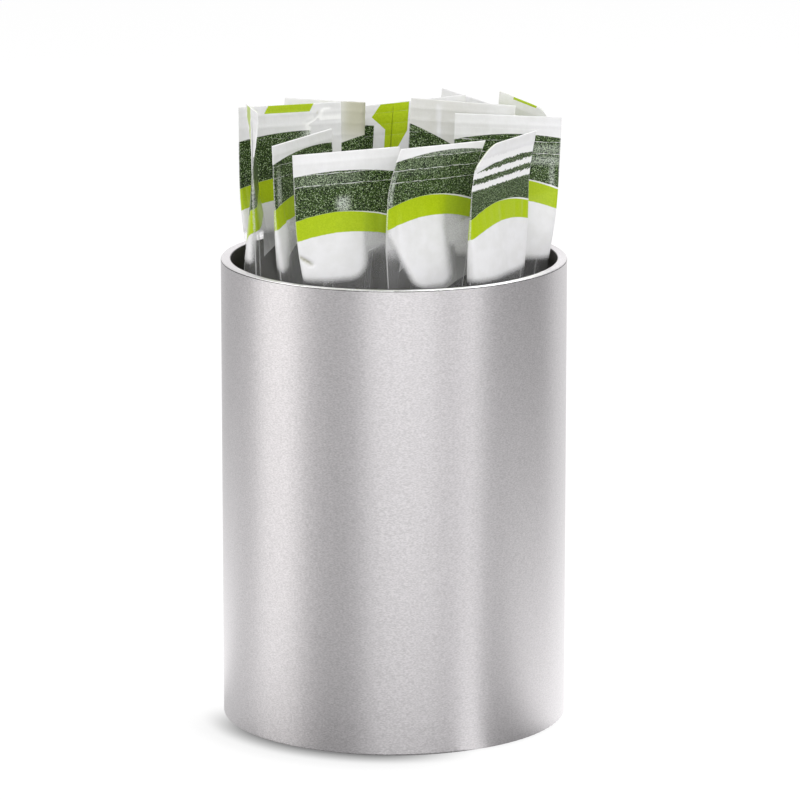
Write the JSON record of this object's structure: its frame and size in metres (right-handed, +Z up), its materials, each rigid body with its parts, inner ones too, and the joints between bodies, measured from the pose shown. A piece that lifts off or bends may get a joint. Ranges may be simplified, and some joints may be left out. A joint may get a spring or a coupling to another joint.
{
  "type": "sugar packet holder",
  "caption": "Round straight-walled brushed steel cup for the table, filled with upright stick sachets of sugar that lift out one by one.",
  "frame": {"origin": "centre of the underside of the cup's foot pad, on the table", "axes": "+Z up, -Y the side that the picture shows, +X to the right in the picture"},
  "size_m": [0.07, 0.07, 0.1249],
  "materials": {
    "brushed_steel": "satin, brushed round the tube",
    "floor_steel": "satin",
    "pad": "matt black",
    "printed_film": "white glossy laminate with a dark green and a lime band round the top",
    "sugar": "fine white grains"
  },
  "bodies": {
    "cup": {"cup_tube": "brushed_steel", "base_plate": "floor_steel", "foot_pad": "pad"},
    "stick_01": {"stick_01_wrapper": "printed_film", "stick_01_sugar": "sugar"},
    "stick_02": {"stick_02_wrapper": "printed_film", "stick_02_sugar": "sugar"},
    "stick_03": {"stick_03_wrapper": "printed_film", "stick_03_sugar": "sugar"},
    "stick_04": {"stick_04_wrapper": "printed_film", "stick_04_sugar": "sugar"},
    "stick_05": {"stick_05_wrapper": "printed_film", "stick_05_sugar": "sugar"},
    "stick_06": {"stick_06_wrapper": "printed_film", "stick_06_sugar": "sugar"},
    "stick_07": {"stick_07_wrapper": "printed_film", "stick_07_sugar": "sugar"},
    "stick_08": {"stick_08_wrapper": "printed_film", "stick_08_sugar": "sugar"},
    "stick_09": {"stick_09_wrapper": "printed_film", "stick_09_sugar": "sugar"},
    "stick_10": {"stick_10_wrapper": "printed_film", "stick_10_sugar": "sugar"},
    "stick_11": {"stick_11_wrapper": "printed_film", "stick_11_sugar": "sugar"},
    "stick_12": {"stick_12_wrapper": "printed_film", "stick_12_sugar": "sugar"}
  },
  "joints": [
    {"name": "stick_01_lift", "type": "slide", "parent": "cup", "child": "stick_01", "axis": [-0.0361, -0.1644, 0.9857], "range_m": [0, 0.1]},
    {"name": "stick_02_lift", "type": "slide", "parent": "cup", "child": "stick_02", "axis": [0.0462, -0.0558, 0.9974], "range_m": [0, 0.1]},
    {"name": "stick_03_lift", "type": "slide", "parent": "cup", "child": "stick_03", "axis": [0.0447, -0.0704, 0.9965], "range_m": [0, 0.1]},
    {"name": "stick_04_lift", "type": "slide", "parent": "cup", "child": "stick_04", "axis": [-0.0324, -0.1157, 0.9928], "range_m": [0, 0.1]},
    {"name": "stick_05_lift", "type": "slide", "parent": "cup", "child": "stick_05", "axis": [-0.0333, 0.0712, 0.9969], "range_m": [0, 0.1]},
    {"name": "stick_06_lift", "type": "slide", "parent": "cup", "child": "stick_06", "axis": [-0.0086, 0.0655, 0.9978], "range_m": [0, 0.1]},
    {"name": "stick_07_lift", "type": "slide", "parent": "cup", "child": "stick_07", "axis": [0.0276, 0.0548, 0.9981], "range_m": [0, 0.1]},
    {"name": "stick_08_lift", "type": "slide", "parent": "cup", "child": "stick_08", "axis": [0.0559, 0.0251, 0.9981], "range_m": [0, 0.1]},
    {"name": "stick_09_lift", "type": "slide", "parent": "cup", "child": "stick_09", "axis": [0.0519, 0.0244, 0.9984], "range_m": [0, 0.1]},
    {"name": "stick_10_lift", "type": "slide", "parent": "cup", "child": "stick_10", "axis": [0.0409, 0.0032, 0.9992], "range_m": [0, 0.1]},
    {"name": "stick_11_lift", "type": "slide", "parent": "cup", "child": "stick_11", "axis": [0.0683, 0.0115, 0.9976], "range_m": [0, 0.1]},
    {"name": "stick_12_lift", "type": "slide", "parent": "cup", "child": "stick_12", "axis": [0.0691, -0.0061, 0.9976], "range_m": [0, 0.1]}
  ]
}
